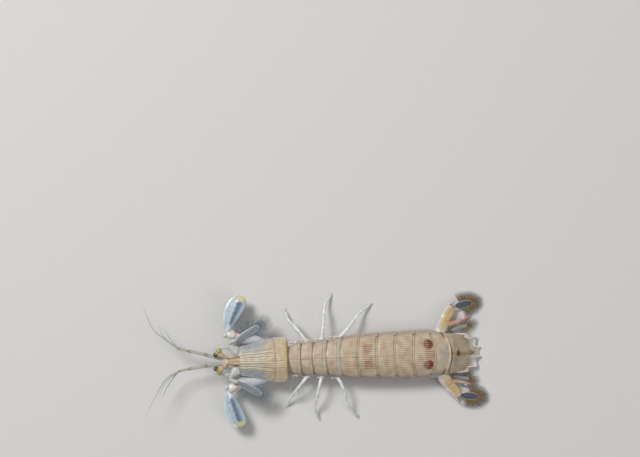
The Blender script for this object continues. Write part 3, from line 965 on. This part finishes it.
def clawPieces(side, sign):  # thigh, wrist, palm, and the finger folded against it with its teeth
    tone = clawPaint
    back, front, wrist = [mirrored(claw[key], sign) for key in ("meralBack", "meralFront", "wrist")]

    def thighPaint(t, a, points):
        grain = 0.5 + 0.5 * ripple(points[..., 0], points[..., 1] * 2, 8, 81)
        colour = paintMix(tone["thigh"], tone["thighDark"], grain)
        return paintMix(colour, tone["pink"], 0.7 * rise(0.8, 0.95, t) + 0 * a)

    def wristPaint(t, a, points):
        colour = paintMix(tone["white"], tone["pink"], bell(t - 0.15, 0.16) * 0.7 + 0 * a)
        return paintMix(colour, tone["yellow"], 0.45 * bell(t - 0.55, 0.2) * rise(0, 1, np.sin(a)))

    thigh = carried([back, (back + front) / 2 + np.array([0, sign * 0.2, 0]), front],
                    [[0, 1.0], [0.16, 1.9], [0.47, 2.5], [0.8, 2.75], [0.95, 2.4], [1, 1.3]],
                    [[0, 0.9], [0.16, 1.5], [0.47, 1.9], [0.8, 1.85], [0.95, 1.5], [1, 0.9]], 60, 44, thighPaint)
    hip = carried([[13.2, sign * 3.6, 6.4], [15.6, sign * 4.9, 6.2], back + (front - back) * 0.06],
                  [[0, 0.9], [1, 1.0]], None, 20, 20, thighPaint)
    buildPiece(f"claw_thigh_{side}", [thigh, hip], finishes["limb"], "limb", f"claw_merus_{side}")
    lump = wrist + np.array([-0.4, -sign * 0.8, 0.5])
    knuckle = carried([lump + [1.0, 0, 0], lump, lump - [1.1, 0, 0]],
                      [[0, 0.3], [0.2, 0.85], [0.5, 1.1], [0.8, 0.85], [1, 0.2]],
                      [[0, 0.3], [0.2, 0.9], [0.5, 1.2], [0.8, 0.9], [1, 0.2]], 24, 28, tone["thigh"])
    carpal = carried([front + (wrist - front) * -0.05, wrist],
                     [[0, 1.2], [0.35, 1.8], [0.75, 1.75], [0.96, 1.3], [1, 0.9]],
                     [[0, 1.1], [0.35, 1.5], [0.75, 1.5], [1, 0.9]], 34, 36, wristPaint)
    buildPiece(f"claw_wrist_{side}", [knuckle, carpal], finishes["claw"], "limb", f"claw_carpus_{side}")

    lean = math.radians(claw["lean"][side])
    outwardDir = unit(np.array([math.sin(lean), sign * math.cos(lean), -0.02]))
    across = unit(np.cross(up, outwardDir))
    rising = np.cross(outwardDir, across)
    root = wrist + outwardDir * 0.95
    tailward = -sign

    def slab(x, low, high, thick, paint, columns=64):
        # cross-section at x: y = mid + half cos(a), z = thick * sign(sin a) |sin a|^0.8, placed on the hand's axes
        a = np.linspace(0, 2 * math.pi, columns, endpoint=False)[None, :]
        mid, half = ((low + high) / 2)[:, None], ((high - low) / 2)[:, None]
        wide = tailward * (mid + half * np.cos(a))
        tall = thick[:, None] * np.sign(np.sin(a)) * np.abs(np.sin(a)) ** 0.8
        points = root + outwardDir * x[:, None, None] + across * wide[..., None] + rising * tall[..., None]
        return closedGrid(points, paint(x[:, None], a, mid + half * np.cos(a)))

    x = np.concatenate([np.linspace(0, 0.6, 8), np.linspace(0.7, 13.8, 70), np.linspace(13.9, claw["length"], 12)])
    ahead, behind = table(claw["front"], x), table(claw["back"], x)
    tipRound = 0.2 + np.sqrt(np.clip(claw["length"] - x, 0, 9)) * 0.55
    thick = claw["thick"] * np.minimum(1, np.minimum(0.55 + x / 6, tipRound))

    def palmPaint(x, a, wide):
        inside = bell(np.cos(a) - 0.05, 0.72) ** 2
        colour = paintMix(tone["rim"], tone["slate"], inside * rise(1.0, 4.0, x) * (1 - rise(12.2, 13.8, x)))
        colour = paintMix(colour, tone["blue"], 0.35 * (0.5 + 0.5 * ripple(x * 2, wide * 2, 2.4, 87)))
        colour = paintMix(colour, tone["yellow"], rise(11.9, 13.4, x) * bell(np.cos(a), 0.9))
        for k, at in enumerate(claw["teeth"]):  # the dark pits that the teeth fold into
            pit = bell(x - at + 0.9, 0.42) * bell(wide - 0.55 - 0.12 * k, 0.32)
            colour = paintMix(colour, tone["dark"], 0.85 * pit)
        return paintMix(colour, tone["white"], 0.6 * (1 - rise(0.5, 2.5, x)) + 0 * a)

    palm = slab(x, -ahead, behind, thick, palmPaint)
    heel = root + outwardDir * 0.1 + across * tailward * 0.85 + np.array([0, 0, 0.35])
    ball = carried([heel - outwardDir, heel, heel + outwardDir],
                   [[0, 0.2], [0.2, 0.65], [0.5, 0.92], [0.8, 0.65], [1, 0.2]],
                   [[0, 0.2], [0.2, 0.65], [0.5, 1.0], [0.8, 0.65], [1, 0.2]], 20, 24, tone["pink"])
    buildPiece(f"claw_palm_{side}", [palm, ball], finishes["claw"], "claw", f"claw_propodus_{side}")

    fx = np.concatenate([np.linspace(0.3, 13.6, 70), np.linspace(13.7, 14.5, 8)])
    inner = table(claw["front"], fx) - 0.15
    outer = np.maximum(table(claw["finger"], fx), inner + 0.1)
    fingerThick = np.interp(fx, [0.3, 1.5, 9, 14.5], [0.6, 1.05, 0.85, 0.25])

    def fingerPaint(x, a, wide):
        colour = paintMix(tone["rim"], tone["white"], 0.5 + 0.5 * np.cos(a) + 0 * x)
        colour = paintMix(colour, tone["blue"], 0.6 * bell(np.cos(a) - 0.1, 0.45) * (1 - rise(12, 14, x)))
        return paintMix(colour, tone["yellow"], 0.7 * rise(12.6, 14, x) + 0 * a)

    parts = [slab(fx, -outer, -inner, fingerThick, fingerPaint, 40)]
    for k, at in enumerate(claw["teeth"]):
        start = root + outwardDir * at - across * tailward * (table(claw["front"], at) + 0.4)
        end = root + outwardDir * (at - 1.0) + across * tailward * (0.1 + 0.12 * k) + rising * 1.35
        parts.append(spine(start, end, 0.3, tone["white"], rising * 0.85, tone["rim"]))
    buildPiece(f"claw_finger_{side}", parts, finishes["claw"], "claw", f"claw_dactylus_{side}")


for side, sign in sides.items():
    clawPieces(side, sign)
print("raptorial claws")


# small mouth limbs and the underside

mouth = {"roots": {3: 12.2, 4: 16.0, 5: 19.8},
         "arm": [[0, 2.2, 6.0], [0.6, 3.9, 3.9], [-0.4, 5.3, 2.7], [-2.0, 4.4, 2.2]],
         "hand": [[-1.4, 3.9, 2.15], [-2.7, 3.4, 2.1], [-4.0, 2.9, 2.05]],
         "finger": [[-1.6, 2.7, 2.2], [-2.6, 2.0, 2.1], [-3.7, 2.4, 2.1]],
         "lip": [[2.8, 0, 4.95], [4.4, 0, 4.8], [6.0, 0, 4.95]],
         "jaw": [[4.9, 1.55, 4.8], [6.3, 1.55, 4.7], [7.7, 1.55, 4.8]],
         "palp": [[9.5, 1.6, 5.0], [8.6, 2.9, 3.6], [5.2, 2.6, 3.3], [3.2, 1.7, 3.4]],
         "shell": "#cfc3b4", "tip": "#b79a86",
         "profile": [[1.8, 2.4, 6.3], [4.5, 3.6, 5.2], [9, 4.0, 4.8], [16, 4.2, 5.1], [23.2, 4.6, 5.9]]}
mouthPaint = palette(mouth)


def mouthPieces():
    tone = mouthPaint
    shell = mottled(tone["shell"], tone["tip"], 0.35, 0.4, 3, 95)

    def placed(sign, rootX, offsets):  # points given from the limb's root, on one side
        return mirrored([[rootX + x, y, z] for x, y, z in offsets], sign)

    for rank, rootX in mouth["roots"].items():
        for side, sign in sides.items():
            arm = carried(placed(sign, rootX, mouth["arm"]),
                          [[0, 0.75], [0.35, 0.55], [0.5, 0.65], [0.7, 0.45], [1, 0.5]],
                          [[0, 0.75], [0.5, 0.6], [1, 0.5]], 44, 18, shell)
            hand = carried(placed(sign, rootX, mouth["hand"]),
                           [[0, 0.3], [0.2, 0.9], [0.55, 1.15], [0.85, 0.8], [1, 0.2]],
                           [[0, 0.3], [0.5, 0.75], [1, 0.2]], 26, 24, shell)
            finger = carried(placed(sign, rootX, mouth["finger"]), [[0, 0.35], [1, 0.1]], None, 16, 10, tone["tip"])
            buildPiece(f"mouth_limb_{rank}_{side}", [arm, hand, finger], finishes["limb"], "limb",
                       f"maxilliped_{rank}_{side}")
    # underside: one closed ring at each x, its roof just under the shell and its belly raised at the sides
    x = np.linspace(1.8, 22.1, 60)[:, None]
    half, low = [table([[row[0], row[k]] for row in mouth["profile"]], x) for k in (1, 2)]
    share = np.linspace(-0.94, 0.94, 21)[None, :]
    inside = np.clip(x, 3.6, 23.4)
    roof = shieldHeight(inside, half * share / table(shield["half"], inside)) - shield["shell"] - 0.3
    roof = np.minimum(roof, 11.6)
    upper = np.stack([x + 0 * share, half * share, roof], -1)
    belly = np.linspace(1, -1, 31)[None, :]
    lift = 1.2 * rise(0.7, 1, np.abs(belly))
    lower = np.stack([x + 0 * belly, half * belly, low + lift], -1)
    points = np.concatenate([upper, lower], 1)
    colour = paintMix(tone["shell"], tone["tip"], 0.5 + 0.5 * ripple(points[..., 0] * 2, points[..., 1] * 2, 4, 96))
    parts = [closedGrid(points, colour)]
    parts.append(carried(mouth["lip"], [[0, 0.3], [0.5, 1.35], [1, 0.3]], [[0, 0.3], [0.5, 0.9], [1, 0.3]],
                         24, 28, shell))
    for sign in sides.values():
        parts.append(carried(mirrored(mouth["jaw"], sign), [[0, 0.25], [0.5, 0.95], [1, 0.25]], None, 24, 24, shell))
        parts.append(carried(mirrored(mouth["palp"], sign), [[0, 0.5], [0.7, 0.42], [1, 0.15]], None, 44, 16, shell))
    buildPiece("body_underside", parts, finishes["limb"], "head", "underside")


mouthPieces()
print("mouth limbs and underside")


# walking legs

legs = {"right": [[[31.6, 5.6], [27.9, 10.9], [24.0, 15.5], [22.9, 19.2]],
                  [[36.9, 6.0], [37.7, 13.2], [38.8, 20.8], [41.5, 24.8]],
                  [[42.4, 6.3], [47.4, 11.4], [52.6, 17.4], [57.3, 20.7]]],
        "left": [[[31.8, 5.6], [27.9, 10.4], [23.7, 15.5], [22.1, 19.3]],
                 [[36.8, 6.0], [35.0, 12.4], [33.3, 19.7], [34.8, 24.6]],
                 [[41.9, 6.3], [44.7, 12.1], [47.0, 20.2], [50.5, 24.4]]],
        "height": [6.9, 7.4, 3.2, 0.16], "hairs": 150, "hairReach": 0.85,
        "white": "#f2f2ef", "grey": "#c4c7c5", "hair": "#e6e4de"}
legPaint = palette(legs)


def legPieces(side, sign, rank):  # a leg through four joints, its side rod, and hairs on the last part
    tone = legPaint
    joints = np.array([[x, sign * y, z] for (x, y), z in zip(legs[side][rank], legs["height"])])

    def legShade(t, a, points):  # a fine grain, with a dark ring at each joint
        grain = 0.3 + 0.3 * ripple(points[..., 0] * 2, points[..., 1] * 2, 4, 97)
        grain = grain + 0.6 * bell(t - 0.33, 0.012) + 0.6 * bell(t - 0.65, 0.012)
        return paintMix(tone["white"], tone["grey"], np.clip(grain, 0, 1))

    width = [[0, 0.85], [0.28, 0.6], [0.325, 0.64], [0.335, 0.5], [0.36, 0.62], [0.6, 0.5], [0.64, 0.54],
             [0.65, 0.42], [0.68, 0.52], [0.9, 0.42], [1, 0.16]]
    parts = [carried(joints, width, None, 90, 20, legShade)]
    hip = joints[0] + (joints[1] - joints[0]) * 0.32
    parts.append(carried([joints[0], hip], [[0, 1.2], [0.8, 1.0], [1, 0.7]], None, 16, 22, legShade))
    rodStart = joints[1] + (joints[0] - joints[1]) * 0.12
    rodEnd = joints[1] + (joints[2] - joints[1]) * 0.85 + np.array([0.9, sign * 0.5, 0.9])
    parts.append(carried([rodStart, rodEnd], [[0, 0.34], [1, 0.14]], None, 20, 12, legShade))
    roll = np.random.default_rng(500 + rank + 10 * (sign > 0))
    hairs = legs["hairs"]
    share = roll.uniform(0.05, 1.0, hairs)[:, None]
    root = joints[2] + (joints[3] - joints[2]) * share
    away = roll.normal(0, 1, (hairs, 3)) * np.array([0.7, 0.7, 0.25])
    end = root + unit(away) * legs["hairReach"] + unit(joints[3] - joints[2]) * 0.8
    end[:, 2] = np.maximum(end[:, 2], 0.03)
    parts.append(strands(root, end, np.zeros((hairs, 3)), 0.028, tone["hair"], tone["hair"], rows=4))
    buildPiece(f"walking_leg_{rank + 1}_{side}", parts, finishes["limb"], "limb", f"leg_{rank + 1}_{side}")


for side, sign in sides.items():
    for rank in range(3):
        legPieces(side, sign, rank)
print("walking legs")


# swimmerets

swimmeret = {"leaf": [[0, 0.5], [0.3, 1.9], [0.73, 1.9], [0.95, 0.9], [1, 0.3]], "hairs": 46, "hairReach": 1.3,
             "shell": "#d5cabc", "vein": "#a99a88", "hair": "#8d8671"}
swimPaint = palette(swimmeret)


def swimmeretPieces(rank, side, sign):  # a short stem and two flat leaves with hairs, under each of five plates
    tone = swimPaint
    front, back = seams[rank + 3], seams[rank + 4]
    x, belly = front[0] + (back[0] - front[0]) * 0.42, front[4] + (back[4] - front[4]) * 0.42
    root, knee = np.array([x, sign * 4.6, belly + 0.4]), np.array([x + 0.6, sign * 5.4, belly - 1.9])

    def leafPaint(t, a, points):
        veins = bell(np.cos(a), 0.12) * 0.6 + 0.25 + 0.25 * np.sin(t * 30)
        return paintMix(tone["shell"], tone["vein"], np.clip(veins, 0, 1))

    parts = [carried([root, knee], [[0, 0.75], [1, 0.55]], [[0, 1.3], [1, 0.9]], 16, 24, tone["shell"],
                     lift=np.array([1.0, 0, 0]))]
    for outer, tip in ((1, [x + 5.2, 7.3, 0.75]), (0, [x + 5.4, 2.9, 0.95])):
        tip = mirrored(tip, sign)
        parts.append(carried([knee, tip], swimmeret["leaf"], [[0, 0.4], [0.7, 0.3], [1, 0.12]], 30, 24, leafPaint))
        seed = 600 + rank * 4 + (sign > 0) * 2 + outer
        base, end, sag = fringeOf(knee, tip, 1.8, swimmeret["hairReach"], swimmeret["hairs"], -0.9, 0.9, -0.2, seed)
        parts.append(strands(base, end, sag * 0.4, 0.04, tone["hair"], tone["hair"] * 1.2, rows=4))
    buildPiece(f"swimmeret_{rank}_{side}", parts, finishes["limb"], "limb", f"pleopod_{rank}_{side}")


for rank in range(1, 6):
    for side, sign in sides.items():
        swimmeretPieces(rank, side, sign)
print("swimmerets")


# floor, light and camera

stage = {"floor": 4.0, "colour": "#d6d4d0", "grain": 900, "roughness": 0.8, "specular": 0.2,
         "sky": (0.9, 0.93, 1.0, 1), "skyStrength": 0.2, "height": 1.6, "aim": (37.8, 51.3), "aimHeight": 8.0,
         "roll": -2.04, "pixelsPerMillimetre": 2.523, "imageWidth": 640,
         "lights": {"key": ((-0.55, 0.6, 1.0), 0.4, 11.5), "fill": ((0.9, -0.5, 0.9), 0.9, 3.2),
                    "top": ((0.1, 0.1, 1.9), 1.2, 4.3)}}  # each one's place, size and power; all face the middle


def makeFloor():
    size = stage["floor"]
    mesh = bpy.data.meshes.new("floor")
    mesh.from_pydata([(-size, -size, 0), (size, -size, 0), (size, size, 0), (-size, size, 0)], [], [(0, 1, 2, 3)])
    material = bpy.data.materials.new("floor_matt")
    material.use_nodes = True
    nodes, links = material.node_tree.nodes, material.node_tree.links
    shader = nodes["Principled BSDF"]
    place = nodes.new("ShaderNodeTexCoord")
    grain = nodes.new("ShaderNodeTexNoise")
    grain.inputs["Scale"].default_value = stage["grain"]
    ramp = nodes.new("ShaderNodeValToRGB")
    base = srgb(stage["colour"])
    ramp.color_ramp.elements[0].color = (*(base * 0.97), 1)
    ramp.color_ramp.elements[1].color = (*(base * 1.02), 1)
    links.new(place.outputs["Object"], grain.inputs["Vector"])
    links.new(grain.outputs["Fac"], ramp.inputs["Fac"])
    links.new(ramp.outputs["Color"], shader.inputs["Base Color"])
    shader.inputs["Roughness"].default_value = stage["roughness"]
    shader.inputs["Specular IOR Level"].default_value = stage["specular"]
    mesh.materials.append(material)
    floor = bpy.data.objects.new("floor", mesh)
    bpy.context.scene.collection.objects.link(floor)


def makeLight(name, place, size, power):
    data = bpy.data.lights.new(name, "AREA")
    data.size = size
    data.energy = power
    light = bpy.data.objects.new(name, data)
    light.location = place
    x, y, z = place
    light.rotation_euler = (math.acos(z / np.linalg.norm(place)), 0, math.atan2(y, x) + math.pi / 2)
    bpy.context.scene.collection.objects.link(light)


def makeCamera():
    data = bpy.data.cameras.new("camera")
    width = stage["imageWidth"] / stage["pixelsPerMillimetre"] / 1000
    data.lens = data.sensor_width * (stage["height"] - stage["aimHeight"] / 1000) / width
    data.clip_start, data.clip_end = 0.1, 20
    camera = bpy.data.objects.new("camera", data)
    aim = (np.array([*stage["aim"], 0]) + shift) / 1000
    camera.location = (aim[0], aim[1], stage["height"])
    camera.rotation_euler = (0, 0, math.radians(stage["roll"]))
    bpy.context.scene.collection.objects.link(camera)
    bpy.context.scene.camera = camera


makeFloor()
for name, settings in stage["lights"].items():
    makeLight(name, *settings)
makeCamera()
world = bpy.data.worlds.new("studio")
world.use_nodes = True
sky = world.node_tree.nodes["Background"].inputs
sky["Color"].default_value = stage["sky"]
sky["Strength"].default_value = stage["skyStrength"]
bpy.context.scene.world = world
bpy.context.scene.view_settings.view_transform = "Standard"
print("stage ready")
